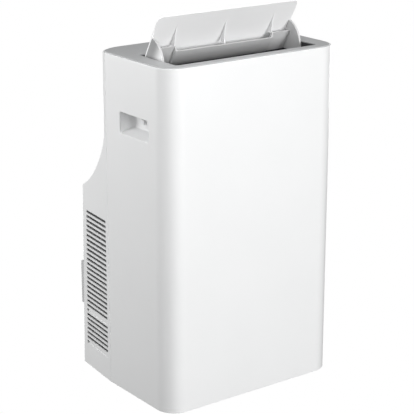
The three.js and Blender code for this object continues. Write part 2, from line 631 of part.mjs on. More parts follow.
/** The deck on its skirt, with two stiffening ribs and a boss for each caster's stem. */
function basePan() {
  const { z0, ribs: places, ribX, ribZ, boss, bossZ } = PAN;
  const outside = WALL + GAP;
  const inDeck = DECK.z0 + OVER;
  const tray = footprint(outside, z0, DECK.z1).subtract(footprint(outside + WALL, -OVER, DECK.z0));
  const bosses = CASTERS.map(([, x, y]) => rod('z', [x, y], boss, bossZ, inDeck, 12));
  const bores = CASTERS.map(([, x, y]) => rod('z', [x, y], CASTER.stem + GAP, bossZ - OVER, DECK.z0, 12));
  const ribs = places.map((y) => box(-ribX, ribX, y - WALL / 2, y + WALL / 2, ribZ, inDeck));
  const drain = rod('y', [DRAIN.lower[0], 0, DRAIN.lower[1]], DRAIN.r + GAP, REAR_Y - 20, REAR_Y, 16);
  return cut(join([tray, ...bosses, ...ribs]), [...bores, drain]);
}

const WHEEL_Z = CASTER.r - FLOOR_GAP;

function casterFork(x, y) {
  const { half, trail, axle, stem: stemR } = CASTER;
  const { leg, arm, back: behind, crown, plate } = FORK;
  const near = half + 1;
  const [front, back] = [y - trail - arm, y + behind];
  const top = box(x - near - leg, x + near + leg, front, back, crown, crown + plate);
  const low = WHEEL_Z - 5;
  const outline = polygon([[front, low], [front + 2 * arm, low], [back, crown + 1], [front, crown + 1]]);
  const right = prism('x', outline, x + near, x + near + leg);
  const left = prism('x', outline, x - near - leg, x - near);
  const stem = rod('z', [x, y], stemR, crown + plate - OVER, DECK.z0 - OVER, 12);
  const hole = rod('x', [0, y - trail, WHEEL_Z], axle + GAP, x - 2 * near, x + 2 * near, 12);
  return cut(join([top, right, left, stem]), [hole]);
}

function casterWheel(x, y) {
  const { r, half, trail, axle } = CASTER;
  const bore = axle + GAP;
  const bevel = 2;
  const profile = [
    [bore, -half], [r - bevel, -half], [r, bevel - half], [r, half - bevel], [r - bevel, half], [bore, half],
    [bore, -half],
  ];
  const points = profile.map(([radius, height]) => new THREE.Vector2(radius, height));
  const geometry = new THREE.LatheGeometry(points, 20);
  return solid(geometry.rotateZ(Math.PI / 2).translate(x, y - trail, WHEEL_Z));
}

function casterAxle(x, y) {
  const reach = CASTER.half + 1 + FORK.leg + 1.5;
  return rod('x', [0, y - CASTER.trail, WHEEL_Z], CASTER.axle, x - reach, x + reach, 12);
}

// ---------------------------------------------------------------- cold side: blower, evaporator, drip tray

/** A finned coil: packs of upright fins between a top and a bottom plate, with tube bends at each end. */
function coil({ x, y0, y1, z0, z1 }, packs) {
  const [end, plate, pack] = [3, 5, 8]; // end plate, top and bottom plate, and the width of one pack
  const block = box(-x, x, y0, y1, z0, z1);
  const pitch = 2 * (x - end) / packs;
  const gaps = Array.from({ length: packs }, (_, i) => {
    const left = -x + end + i * pitch + pack / 2;
    return box(left, left + pitch - pack, y0 - OVER, y1 + OVER, z0 + plate, z1 - plate);
  });
  const middle = (y0 + y1) / 2;
  const [reach, half, tube] = [8, 12, 4];
  const bends = [0.2, 0.5, 0.8].flatMap((t) => {
    const z = z0 + t * (z1 - z0);
    const bend = box(x - OVER, x + reach, middle - half, middle + half, z - tube, z + tube);
    return [bend, mirrored(bend)];
  });
  return join([cut(block, gaps), ...bends]);
}

/** The blower's cage: end plates, and the walls that lead its air up into the outlet duct. */
function blowerScroll() {
  const { y, z, x1 } = BLOWER;
  const wall = 2.2;
  const [side, top] = [DUCT.x + 2, DUCT.z0 - GAP];
  const arc = Array.from({ length: 13 }, (_, i) => {
    const angle = (180 + i * 10) * DEG;
    const r = 60 - 0.45 * i;
    return [y + r * Math.cos(angle), z + r * Math.sin(angle)];
  });
  const front = prism('x', ribbon([[DUCT.y0, top], ...arc], wall), -side, side);
  const tongue = prism('x', ribbon([[DUCT.y1, top], [150, 622], [142, 612]], wall), -side, side);
  const [near, bottom] = [DUCT.y0 - 2, 518];
  const plate = polygon([[near, top], [near, bottom], [130, bottom], [164, 612], [164, top]]);
  const left = prism('x', plate, -side, -DUCT.x);
  const middle = prism('x', plate, x1 + 3, x1 + 5);
  const hole = rod('x', [0, y, z], 5, -side - OVER, DUCT.x, 12);
  const above = box(-side - OVER, side + OVER, 0, SEAM_Y, top, top + 20);
  return cut(join([front, tongue, left, middle]), [hole, above]);
}

/** A ring of flat radial blades round an axis, from one coordinate on it to another. */
function blades(axis, centre, depth, count, radius, from, to) {
  const half = 0.9;
  return Array.from({ length: count }, (_, i) => {
    const turn = (i * 360) / count;
    const blade = axis === 'x'
      ? box(from, to, -half, half, radius - depth, radius).rotate([turn, 0, 0])
      : box(-half, half, from, to, radius - depth, radius).rotate([0, turn, 0]);
    return blade.translate(centre);
  });
}

function blowerWheel() {
  const { y, z, r, x0, x1, blades: count, blade } = BLOWER;
  const disc = 3;
  const centre = [0, y, z];
  const discs = [x0, (x0 + x1 - disc) / 2, x1 - disc].map((x) => rod('x', centre, r, x, x + disc, 24));
  const shaft = rod('x', centre, 4, -DUCT.x - 2, x0 + OVER, 12);
  const stub = rod('x', centre, 4, x1 - OVER, x1 + 8.7, 12);
  return join([...discs, shaft, stub, ...blades('x', centre, blade, count, r - 0.8, x0 + OVER, x1 - OVER)]);
}

function blowerMotor() {
  const { y, z, x1 } = BLOWER;
  const can = rod('x', [0, y, z], 38, x1 + 11, DUCT.x - 2, 24);
  return can.add(rod('x', [0, y, z], 20, x1 + 9, x1 + 12, 16));
}

function dripTray() {
  const { x, y0, y1, z0, z1, wall: t } = TRAY;
  const hollow = box(-x + t, x - t, y0 + t, y1 - t, z0 + t, z1 + OVER);
  const notch = rod('z', SUCTION_DROP, 8, z0 - OVER, z1, 12);
  return cut(box(-x, x, y0, y1, z0, z1), [hollow, notch]);
}

// ---------------------------------------------------------------- hot side: compressor, condenser, fan, duct

const FEET = [90, 210, 330].map((angle) => [
  COMPRESSOR.x + COMPRESSOR.feet * Math.cos(angle * DEG),
  COMPRESSOR.y + COMPRESSOR.feet * Math.sin(angle * DEG),
]);

function compressor() {
  const { x, y, r, z0, z1, foot, plate } = COMPRESSOR;
  const profile = [[0, z0], [r, z0], [r, z1 - 22], [r - 5, z1 - 10], [r - 22, z1], [0, z1]];
  const can = turned('z', [x, y, 0], profile, 28);
  const feet = FEET.map(([fx, fy]) => rod('z', [fx, fy], foot, z0, z0 + plate, 12));
  const arms = FEET.map(([fx, fy]) => {
    const length = Math.hypot(fx - x, fy - y);
    const turn = Math.atan2(fy - y, fx - x) / DEG;
    return box(0, length, -12, 12, z0, z0 + plate).rotate([0, 0, turn]).translate([x, y, 0]);
  });
  const terminal = box(x - 16, x + 16, y - 16, y + 16, z1 - 4, z1 + 12);
  const core = rod('z', [x, y], r - 16, z0 - OVER, z1 - 60, 20);
  return cut(join([can, ...feet, ...arms, terminal]), [core]);
}

/** A rubber foot with a waist, between the deck and one foot plate of the compressor. */
function compressorFoot([x, y]) {
  const [low, high] = [DECK.z1 + GAP, COMPRESSOR.z0 - GAP];
  const waist = 52.5;
  const profile = [
    [0, low], [11, low], [11, waist - 2.5], [8, waist], [11, waist + 2.5], [11, high], [0, high],
  ];
  return turned('z', [x, y, 0], profile, 12);
}

function accumulator() {
  const { x, y, r, z0, z1 } = ACCUMULATOR;
  const [foot, neck] = [z0 + 30, r - 8];
  const profile = [[0, foot], [neck, foot], [r, foot + 10], [r, z1 - 12], [neck, z1 - 2], [0, z1 - 2]];
  const stand = rod('z', [x, y], 6, z0, foot + 2, 8);
  return turned('z', [x, y, 0], profile, 16).add(stand);
}

/** The spiral that collects the fan's air and leads it up to the exhaust. */
function spiral(inset) {
  const { near, far, top: end, throat, knee } = SCROLL;
  const count = 14;
  const points = Array.from({ length: count + 1 }, (_, i) => {
    const t = i / count;
    const angle = (50 - 230 * t) * DEG;
    const r = near + (far - near) * t - inset;
    return [FAN.x + r * Math.cos(angle), FAN.z + r * Math.sin(angle)];
  });
  const left = FAN.x - far + inset;
  const top = inset ? end + OVER : end;
  return polygon([...points, [left, top], [throat - inset, top], [throat - inset, knee]]);
}

function condenserScroll() {
  const { y0, y1, wall } = SCROLL;
  const { x, z } = FAN;
  const shell = prism('y', spiral(0), y0, y1).subtract(prism('y', spiral(wall), y0 + wall, y1 - wall));
  const inlet = rod('y', [x, 0, z], 62, y1 - 3, y1 + OVER, 24);
  const shaft = rod('y', [x, 0, z], 6, y0 - OVER, y0 + 3, 12);
  const [far, near] = [60, 56];
  const feet = join([
    box(x - far, x - near, y0 + 10, y1 - 10, DECK.z1 + GAP, 130),
    box(x + near, x + far, y0 + 10, y1 - 10, DECK.z1 + GAP, 130),
  ]).subtract(prism('y', spiral(0.5), y0, y1));
  return cut(shell.add(feet), [inlet, shaft]);
}

function fanWheel() {
  const { x, z, r, y0, y1, blades: count, blade } = FAN;
  const centre = [x, 0, z];
  const rim = 3;
  const back = rod('y', centre, r, y0, y0 + 2.5, 32);
  const hub = rod('y', centre, 14, y0, y0 + 26, 12);
  const shaft = rod('y', centre, 4, y0 - 10, y0 + OVER, 12);
  const eye = rod('y', centre, r - blade - 2, y1 - rim - OVER, y1 + OVER, 32);
  const ring = rod('y', centre, r, y1 - rim, y1, 32).subtract(eye);
  return join([back, hub, shaft, ring, ...blades('y', centre, blade, count, r - 1, y0 + OVER, y1 - OVER)]);
}

function fanMotor() {
  const { x, z } = FAN;
  const can = rod('y', [x, 0, z], 44, 104, SCROLL.y0 - 2.3, 24);
  const [near, far] = [144, 150];
  const strap = box(x - 52, x + 52, near, far, z - 10, z + 10);
  const stand = box(x - 22, x + 22, near, far, DECK.z1 + GAP, z - 20);
  return join([can, strap, stand]);
}

/** Leads the hot air from the top of the fan's spiral back and up to the exhaust collar. */
function exhaustDuct() {
  const { x, y0, bend, y1, z0, knee, z1, wall } = EXHAUST;
  const outline = (t) => polygon([
    [y0 + t, z0 - t], [y1 - t, z0 - t], [y1 - t, z1 - t],
    [bend + t, z1 - t], [bend + t, knee - t], [y0 + t, knee - t],
  ]);
  const floor = box(-x - wall, x + wall, SCROLL.y1, y1 + wall, z0 - OVER, z0 + wall);
  const hollow = prism('x', outline(wall), -x + wall, x - wall).subtract(floor);
  const mouth = rod('y', [0, 0, COLLAR.z], COLLAR.r - COLLAR.wall, 240, 262, 32);
  return cut(prism('x', outline(0), -x, x), [hollow, mouth]);
}

/** The box of the electronics: a tub, its lid and a cable entry on top. */
function controlBox() {
  const { x0, x1, y1, z0, z1, lid, inset } = BOX;
  const tub = box(x0, x1, WALL + 1.1, y1, z0, z1);
  const cover = box(x0 + inset, x1 - inset, y1 - OVER, y1 + lid, z0 + inset, z1 - inset);
  const entry = box(x0 + 10, x0 + 22, 20, 50, z1 - OVER, z1 + 6);
  return join([tub, cover, entry]);
}

// ---------------------------------------------------------------- assembly

piece('front_casing', frontCasing(), 'shell');
piece('rear_casing', rearCasing(), 'shell');
piece('top_cover', topCover(), 'topGrey');
piece('base_pan', basePan(), 'dark');
piece('handle_right', handleCup(), 'shell');
piece('handle_left', mirrored(handleCup()), 'shell');
piece('upper_grille', upperGrille(), 'shell');
piece('upper_filter', upperFilter(), 'dark');
piece('lower_grille', lowerGrille(), 'shell');
piece('lower_filter', lowerFilter(), 'dark');
piece('exhaust_collar', exhaustCollar(), 'dark');
piece('drain_plug_upper', drainPlug(DRAIN.upper), 'rubber');
piece('drain_plug_lower', drainPlug(DRAIN.lower), 'rubber');
piece('cord_gland', cordGland(), 'rubber');
piece('cord_hook', cordHook(), 'shell');

piece('outlet_duct', outletDuct(), 'flap');
for (let i = 0; i < VANE.count; i += 1) piece(`vane_${i + 1}`, vane(i), 'dark');
piece('vane_link', vaneLink(), 'dark');
piece('louvre_motor', louvreMotor(), 'flap');

const flap = new THREE.Group();
flap.position.set(0, PIVOT.y, PIVOT.z);
flap.rotation.x = -OPEN_ANGLE;
casing.add(flap);
piece('flap_cover', flapCover(), 'flap', flap);
piece('flap_guide', flapGuide(), 'flap', flap);

piece('control_panel', controlPanel(), 'dark');
for (let i = 0; i < BUTTON.count; i += 1) piece(`button_${i + 1}`, button(i), 'topGrey');
piece('display_lens', displayLens(), 'lens');

CASTERS.forEach(([name, x, y]) => {
  piece(`caster_fork_${name}`, casterFork(x, y), 'dark');
  piece(`caster_wheel_${name}`, casterWheel(x, y), 'wheel');
  piece(`caster_axle_${name}`, casterAxle(x, y), 'steel');
});

piece('evaporator_coil', coil(EVAPORATOR, 10), 'fins');
piece('blower_wheel', blowerWheel(), 'dark');
piece('blower_motor', blowerMotor(), 'steel');
piece('blower_scroll', blowerScroll(), 'foam');
piece('drip_tray', dripTray(), 'foam');

piece('condenser_coil', coil(CONDENSER, 10), 'fins');
piece('condenser_fan', fanWheel(), 'dark');
piece('condenser_motor', fanMotor(), 'steel');
piece('condenser_scroll', condenserScroll(), 'foam');
piece('exhaust_duct', exhaustDuct(), 'foam');
piece('compressor', compressor(), 'blackSteel');
FEET.forEach((foot, i) => piece(`compressor_foot_${i + 1}`, compressorFoot(foot), 'rubber'));
piece('accumulator', accumulator(), 'blackSteel');
piece('control_box', controlBox(), 'foam');

piece('suction_pipe', pipe(SUCTION_ROUTE, 5, 20, 6), 'copper');

export default machine;
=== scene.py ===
"""A portable air conditioner: looks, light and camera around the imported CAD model."""

import math

import bpy
import bmesh
from mathutils import Matrix, Quaternion, Vector


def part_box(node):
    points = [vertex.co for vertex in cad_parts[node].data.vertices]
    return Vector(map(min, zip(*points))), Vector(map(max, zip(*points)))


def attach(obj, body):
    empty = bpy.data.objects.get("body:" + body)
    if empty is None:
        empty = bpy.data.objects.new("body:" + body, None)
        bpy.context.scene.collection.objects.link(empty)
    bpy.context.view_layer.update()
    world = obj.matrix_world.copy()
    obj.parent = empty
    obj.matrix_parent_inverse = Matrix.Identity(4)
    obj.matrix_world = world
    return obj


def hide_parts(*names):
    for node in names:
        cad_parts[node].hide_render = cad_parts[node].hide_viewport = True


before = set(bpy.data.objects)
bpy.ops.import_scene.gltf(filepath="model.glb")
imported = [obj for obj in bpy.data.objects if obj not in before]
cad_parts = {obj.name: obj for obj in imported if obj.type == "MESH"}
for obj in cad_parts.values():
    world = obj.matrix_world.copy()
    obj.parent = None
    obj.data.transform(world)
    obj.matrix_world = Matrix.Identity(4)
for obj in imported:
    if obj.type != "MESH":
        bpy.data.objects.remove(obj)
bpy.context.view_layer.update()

# ---------------------------------------------------------------- measures
# Pieces are drawn in millimetres: y counts back from the front face and z up from the casing's lower edge.

MM = 0.001
FRONT_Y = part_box("front_casing")[0].y
BASE_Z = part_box("front_casing")[0].z


def node_mm(node):
    """A node's box in the drawing's own millimetres."""
    low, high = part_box(node)
    shift = Vector((0, FRONT_Y, BASE_Z))
    return (low - shift) / MM, (high - shift) / MM


WALL = 2.5
GAP = 0.3  # round a piece that is let into another
PAST = 5  # how far a cutting tool reaches past what it cuts
HALF = node_mm("front_casing")[1].x  # half the casing's width
CASING_TOP = node_mm("front_casing")[1].z
TOP = node_mm("top_cover")[1].z
RIM = WALL + GAP  # of the casing round the top cover
COLUMN = node_mm("top_cover")[1].y + RIM  # back of the slim upper part
REAR = node_mm("rear_casing")[1].y  # back wall at its foot
FRONT_R = 45  # corners in front
REAR_RX, REAR_RY = 60, 38  # corners at the back of the slim upper part
SEAM = 226  # where the front casing meets the rear one
SEAM_GAP = 0.15  # on each side of the seam
TAPER = math.radians(6)  # of the lower housing's sides
LEAN = 13 / 433  # of the lower back wall
SWEEP_R, SWEEP_TOP = 170, 580  # the hollow between upper and lower part
HANDLE_Y, HANDLE_Z, HANDLE_R = (66, 173), (587, 633), 5  # opening of a finger recess
PIVOT = Vector((0, 136, 743))  # the flap's hinge line
HINGE = Vector((0, FRONT_Y + PIVOT.y * MM, BASE_Z + PIVOT.z * MM))  # the same in the frame's metres
OPEN = math.radians(61)  # the flap's angle at rest


def rear_wall_y(z):
    """The outside of the lower back wall at a given height."""
    return REAR - LEAN * z


def side_wall_x(y, half=HALF):
    """The lower housing's side at a given depth; half is its value at the seam."""
    return half - (y - SEAM) * math.tan(TAPER)


# ---------------------------------------------------------------- camera

def outward(azimuth, elevation):
    """The direction from the machine; azimuth 0 is straight in front, 90 on the right."""
    azimuth, elevation = math.radians(azimuth), math.radians(elevation)
    return Vector((
        math.sin(azimuth) * math.cos(elevation),
        -math.cos(azimuth) * math.cos(elevation),
        math.sin(elevation),
    ))


def make_camera():
    back, roll = outward(-36.5, 17.5), math.radians(0.08)
    aim, distance = Vector((-0.0740, -0.1158, 0.4363)), 3.121
    data = bpy.data.cameras.new("camera")
    data.lens, data.sensor_width = 127.2, 36
    data.clip_start, data.clip_end = 0.1, 50
    camera = bpy.data.objects.new("camera", data)
    camera.location = aim + back * distance
    camera.rotation_mode = "QUATERNION"
    camera.rotation_quaternion = Quaternion(back, roll) @ (-back).to_track_quat("-Z", "Y")
    bpy.context.scene.collection.objects.link(camera)
    bpy.context.scene.camera = camera


make_camera()


# ---------------------------------------------------------------- materials

def new_material(name):
    material = bpy.data.materials.new(name)
    material.use_nodes = True
    tree = material.node_tree
    return material, tree, tree.nodes["Principled BSDF"]


def add_node(tree, kind, **values):
    made = tree.nodes.new(kind)
    for key, value in values.items():
        if key in made.inputs:
            made.inputs[key].default_value = value
        else:
            setattr(made, key, value)
    return made


def noise(tree, coordinates, scale, detail=2.0, roughness=0.5):
    made = add_node(tree, "ShaderNodeTexNoise", Scale=scale, Detail=detail, Roughness=roughness)
    tree.links.new(coordinates, made.inputs["Vector"])
    return made.outputs["Fac"]


def mapped(tree, value, low, high):
    """Spreads the middle of a noise over the range from low to high."""
    made = add_node(tree, "ShaderNodeMapRange")
    made.inputs["From Min"].default_value = 0.3
    made.inputs["From Max"].default_value = 0.7
    made.inputs["To Min"].default_value = low
    made.inputs["To Max"].default_value = high
    tree.links.new(value, made.inputs["Value"])
    return made.outputs["Result"]


def varied_colour(tree, shader, coordinates, colour, spread, scale):
    """Colour that drifts slightly over the surface, as moulded and painted parts do."""
    ramp = add_node(tree, "ShaderNodeValToRGB")
    ramp.color_ramp.elements[0].position, ramp.color_ramp.elements[1].position = 0.35, 0.65
    ramp.color_ramp.elements[0].color = (*[c * (1 - spread) for c in colour], 1)
    ramp.color_ramp.elements[1].color = (*[min(1, c * (1 + spread)) for c in colour], 1)
    tree.links.new(noise(tree, coordinates, scale, 3), ramp.inputs["Fac"])
    tree.links.new(ramp.outputs["Color"], shader.inputs["Base Color"])


def moulded(name, colour, roughness, grain=0.0006, height=0.00002, spread=0.012, strength=0.35):
    """Moulded or painted surface: fine grain, small changes of gloss and a faint drift of colour."""
    material, tree, shader = new_material(name)
    coordinates = add_node(tree, "ShaderNodeTexCoord").outputs["Object"]
    varied_colour(tree, shader, coordinates, colour, spread, 7)
    gloss = mapped(tree, noise(tree, coordinates, 60, 3), roughness - 0.03, roughness + 0.03)
    tree.links.new(gloss, shader.inputs["Roughness"])
    bump = add_node(tree, "ShaderNodeBump", Strength=strength, Distance=height)
    tree.links.new(noise(tree, coordinates, 1 / grain, 2, 0.6), bump.inputs["Height"])
    tree.links.new(bump.outputs["Normal"], shader.inputs["Normal"])
    return material


def brushed(name, colour, roughness, direction):
    """Metal with fine lines along one direction."""
    material, tree, shader = new_material(name)
    coordinates = add_node(tree, "ShaderNodeTexCoord").outputs["Object"]
    stretch = add_node(tree, "ShaderNodeMapping")
    stretch.inputs["Scale"].default_value = [40 if axis == direction else 1800 for axis in "XYZ"]
    tree.links.new(coordinates, stretch.inputs["Vector"])
    lines = noise(tree, stretch.outputs["Vector"], 1, 3)
    varied_colour(tree, shader, coordinates, colour, 0.04, 12)
    tree.links.new(mapped(tree, lines, roughness - 0.08, roughness + 0.08), shader.inputs["Roughness"])
    shader.inputs["Metallic"].default_value = 1
    bump = add_node(tree, "ShaderNodeBump", Strength=0.25, Distance=0.00003)
    tree.links.new(lines, bump.inputs["Height"])
    tree.links.new(bump.outputs["Normal"], shader.inputs["Normal"])
    return material


def cheek_with_painted_shade(name, near, far, start, end):
    """The flap's side cheeks, with painted shade in their colour: dark at the plate, which shades them, and
    light at the rim.

    The painted shade fades between two distances from the hinge, square to the plate.
    """
    material = moulded(name, far, 0.45)
    tree = material.node_tree
    shader = next(node for node in tree.nodes if node.type == "BSDF_PRINCIPLED")
    coordinates = add_node(tree, "ShaderNodeTexCoord").outputs["Object"]
    out = Vector((0, math.sin(OPEN), math.cos(OPEN)))  # square to the open plate
    height = tree.nodes.new("ShaderNodeVectorMath")
    height.operation = "DOT_PRODUCT"
    tree.links.new(coordinates, height.inputs[0])
    height.inputs[1].default_value = out
    reach = add_node(tree, "ShaderNodeMapRange")
    reach.interpolation_type = "SMOOTHSTEP"
    tree.links.new(height.outputs["Value"], reach.inputs["Value"])
    reach.inputs["From Min"].default_value = HINGE.dot(out) + end * MM
    reach.inputs["From Max"].default_value = HINGE.dot(out) + start * MM
    ramp = add_node(tree, "ShaderNodeValToRGB")
    ramp.color_ramp.elements[0].color, ramp.color_ramp.elements[1].color = (*far, 1), (*near, 1)
    tree.links.new(reach.outputs["Result"], ramp.inputs["Fac"])
    tree.links.new(ramp.outputs["Color"], shader.inputs["Base Color"])
    return material


def woven(name, colour, pitch):
    """Filter mesh: crossed threads with holes between them read as dark."""
    material, tree, shader = new_material(name)
    coordinates = add_node(tree, "ShaderNodeTexCoord").outputs["Object"]
    waves = []
    for direction in ("X", "Z"):
        wave = add_node(tree, "ShaderNodeTexWave", bands_direction=direction, Scale=1 / pitch / 3.2)
        tree.links.new(coordinates, wave.inputs["Vector"])
        waves.append(wave.outputs["Fac"])
    thread = add_node(tree, "ShaderNodeMath", operation="MAXIMUM")
    tree.links.new(waves[0], thread.inputs[0])
    tree.links.new(waves[1], thread.inputs[1])
    ramp = add_node(tree, "ShaderNodeValToRGB")
    ramp.color_ramp.elements[0].color = (0.004, 0.004, 0.004, 1)
    ramp.color_ramp.elements[1].color = (*colour, 1)
    ramp.color_ramp.elements[0].position = 0.55
    tree.links.new(thread.outputs["Value"], ramp.inputs["Fac"])
    tree.links.new(ramp.outputs["Color"], shader.inputs["Base Color"])
    shader.inputs["Roughness"].default_value = 0.7
    bump = add_node(tree, "ShaderNodeBump", Strength=0.8, Distance=0.0004)
    tree.links.new(thread.outputs["Value"], bump.inputs["Height"])
    tree.links.new(bump.outputs["Normal"], shader.inputs["Normal"])
    return material


WHITE = moulded("white_shell", (0.895, 0.9, 0.902), 0.38, spread=0.006)
CUP = moulded("handle_cup", (0.83, 0.835, 0.838), 0.45, spread=0.006)
GREY = moulded("grey_cover", (0.44, 0.445, 0.45), 0.5, grain=0.0005, height=0.00004, strength=0.5)
PALE = moulded("pale_flap", (0.88, 0.882, 0.885), 0.45)
INNER = moulded("flap_frame", (0.6, 0.602, 0.605), 0.42)
# painted shade: the cheeks' outer faces darken towards the plate as if in its shadow
CHEEK = cheek_with_painted_shade("flap_cheek_painted_shade", (0.24, 0.242, 0.245), (0.86, 0.862, 0.865), -10, -44)
LINER = moulded("liner", (0.06, 0.061, 0.063), 0.6)
DARK = moulded("dark_plastic", (0.035, 0.036, 0.038), 0.55, spread=0.05)
PANEL = moulded("panel_plastic", (0.09, 0.092, 0.095), 0.4, spread=0.04)
BUTTON = moulded("button_plastic", (0.45, 0.455, 0.46), 0.42, spread=0.02)
MARK = moulded("button_mark", (0.03, 0.03, 0.032), 0.5)
RUBBER = moulded("rubber", (0.018, 0.018, 0.018), 0.8, grain=0.0012, height=0.00005, spread=0.1)
WHEEL = moulded("wheel_plastic", (0.07, 0.072, 0.075), 0.5, spread=0.05)
FOAM = moulded("foam_liner", (0.66, 0.66, 0.64), 0.85, grain=0.004, height=0.0003, strength=0.6)
BLACK_STEEL = moulded("black_steel", (0.015, 0.015, 0.016), 0.35, grain=0.0009, height=0.00004, spread=0.1)
STEEL = brushed("zinc_steel", (0.62, 0.63, 0.64), 0.34, "Y")
FINS = brushed("aluminium_fins", (0.5, 0.51, 0.52), 0.42, "Z")
COPPER = brushed("copper_tube", (0.75, 0.36, 0.2), 0.3, "Z")
LENS = moulded("display_window", (0.008, 0.009, 0.01), 0.1, height=0.0, spread=0.05)
MESH = woven("filter_mesh", (0.06, 0.062, 0.065), 0.0016)


# ---------------------------------------------------------------- mesh tools

def make(name, points, faces):
    """An object from points in drawing millimetres."""
    mesh = bpy.data.meshes.new(name)
    mesh.from_pydata([(x * MM, FRONT_Y + y * MM, BASE_Z + z * MM) for x, y, z in points], [], faces)
    tidy = bmesh.new()
    tidy.from_mesh(mesh)
    bmesh.ops.recalc_face_normals(tidy, faces=tidy.faces)
    tidy.to_mesh(mesh)
    tidy.free()
    made = bpy.data.objects.new(name, mesh)
    bpy.context.scene.collection.objects.link(made)
    return made


def loft(name, rings):
    """Skins rings of 3-D points and closes both ends."""
    count = len(rings[0])
    points = [point for ring in rings for point in ring]
    faces = [list(range(count)), list(range(len(points) - count, len(points)))]
    for level in range(len(rings) - 1):
        for i in range(count):
            a, b = level * count + i, level * count + (i + 1) % count
            faces.append((a, b, b + count, a + count))
    return make(name, points, faces)


def prism(name, axis, outline, start, end):
    """Extrudes a 2-D outline: x takes (y, z), y takes (x, z), z takes (x, y)."""
    def place(u, v, w):
        return {"x": (w, u, v), "y": (u, w, v), "z": (u, v, w)}[axis]
    return loft(name, [[place(u, v, w) for u, v in outline] for w in (start, end)])


def weld(target, distance=0.00001):
    """Joins points that lie closer than a distance in metres and drops what that leaves without area."""
    tidy = bmesh.new()
    tidy.from_mesh(target.data)
    bmesh.ops.remove_doubles(tidy, verts=tidy.verts, dist=distance)
    bmesh.ops.dissolve_degenerate(tidy, edges=tidy.edges, dist=distance)
    bmesh.ops.recalc_face_normals(tidy, faces=tidy.faces)
    tidy.to_mesh(target.data)
    tidy.free()


def arc(cx, cy, rx, ry, start, end, steps):
    turn = [math.radians(start + (end - start) * i / steps) for i in range(steps + 1)]
    return [(cx + rx * math.cos(a), cy + ry * math.sin(a)) for a in turn]


def circle(cx, cy, r, sides):
    return arc(cx, cy, r, r, 0, 360 - 360 / sides, sides - 1)


def rectangle(u0, u1, v0, v1):
    return [(u0, v0), (u1, v0), (u1, v1), (u0, v1)]


def rounded(u0, u1, v0, v1, r, steps=8):
    """A rectangle with round corners."""
    return (arc(u0 + r, v0 + r, r, r, 180, 270, steps) + arc(u1 - r, v0 + r, r, r, 270, 360, steps)
            + arc(u1 - r, v1 - r, r, r, 0, 90, steps) + arc(u0 + r, v1 - r, r, r, 90, 180, steps))


def ribbon(line, thickness):
    """The outline of a strip of even thickness along a line of points."""
    line = [Vector(point) for point in line]
    left, right = [], []
    for i, point in enumerate(line):
        step = line[min(i + 1, len(line) - 1)] - line[max(i - 1, 0)]
        side = Vector((-step.y, step.x)).normalized() * thickness / 2
        left.append(tuple(point + side))
        right.append(tuple(point - side))
    return left + right[::-1]


def bake(target):
    """Applies the modifiers."""
    evaluated = target.evaluated_get(bpy.context.evaluated_depsgraph_get())
    old = target.data
    target.data = bpy.data.meshes.new_from_object(evaluated)
    target.modifiers.clear()
    bpy.data.meshes.remove(old)


def merged(name, objects):
    """Gathers objects into one, without joining their surfaces."""
    gathered = bmesh.new()
    for each in objects:
        gathered.from_mesh(each.data)
        bpy.data.objects.remove(each)
    mesh = bpy.data.meshes.new(name)
    gathered.to_mesh(mesh)
    gathered.free()
    made = bpy.data.objects.new(name, mesh)
    bpy.context.scene.collection.objects.link(made)
    return made


def boolean(target, tool, operation):
    """Joins, cuts or intersects the target with a tool, which is used up."""
    modifier = target.modifiers.new("cut", "BOOLEAN")
    modifier.object, modifier.operation, modifier.solver = tool, operation, "EXACT"
    bake(target)
    bpy.data.objects.remove(tool)
    return target


def cut(target, tools):
    boolean(target, merged("tool", tools), "DIFFERENCE")


def soften(target, width, segments=2):
    """Rounds the edges that are sharper than 32 degrees and shades the result smoothly."""
    bevel = target.modifiers.new("edges", "BEVEL")
    bevel.width, bevel.segments = width * MM, segments
    bevel.limit_method, bevel.angle_limit = "ANGLE", math.radians(32)
    bevel.miter_outer = "MITER_ARC"
    bevel.use_clamp_overlap = True
    bevel.harden_normals = False
    normal = target.modifiers.new("normals", "WEIGHTED_NORMAL")
    normal.keep_sharp, normal.weight = False, 60
    for face in target.data.polygons:
        face.use_smooth = True


def piece(target, body, slot, material, *nodes):
    """Gives a finished piece its material and body, and hides the CAD nodes that it stands for."""
    target.data.materials.clear()
    target.data.materials.append(material)
    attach(target, body)
    if nodes:
        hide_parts(*nodes)


def dress(node, material, width):
    """Keeps a CAD node's shape: better material, rounded edges and smooth shading."""
    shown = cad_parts[node]
    if "custom_normal" in shown.data.attributes:
        shown.data.attributes.remove(shown.data.attributes["custom_normal"])
    shown.material_slots[0].link = "OBJECT"
    shown.material_slots[0].material = material
    join = shown.modifiers.new("join", "WELD")
    join.merge_threshold = 0.00002
    soften(shown, width)


# ---------------------------------------------------------------- casings

CORNER_STEPS = 24  # flats in a quarter turn


def column_ring(inset):
    """The slim upper part seen from above, moved inwards by inset."""
    half, r, steps = HALF - inset, FRONT_R - inset, CORNER_STEPS
    rx, ry = REAR_RX - inset, REAR_RY - inset
    return (arc(-half + r, FRONT_R, r, r, 180, 270, steps) + arc(half - r, FRONT_R, r, r, 270, 360, steps)
            + arc(half - rx, SEAM, rx, ry, 0, 90, steps) + arc(-half + rx, SEAM, rx, ry, 90, 180, steps))


SIDE_CUT = (190, 235)  # where the tools that cut through a side wall start and end


def through_sides(outline):
    """Tools that cut the same outline of (y, z) out of both side walls."""
    near, far = SIDE_CUT
    return [prism("hole", "x", outline, side * near, side * far) for side in (-1, 1)]


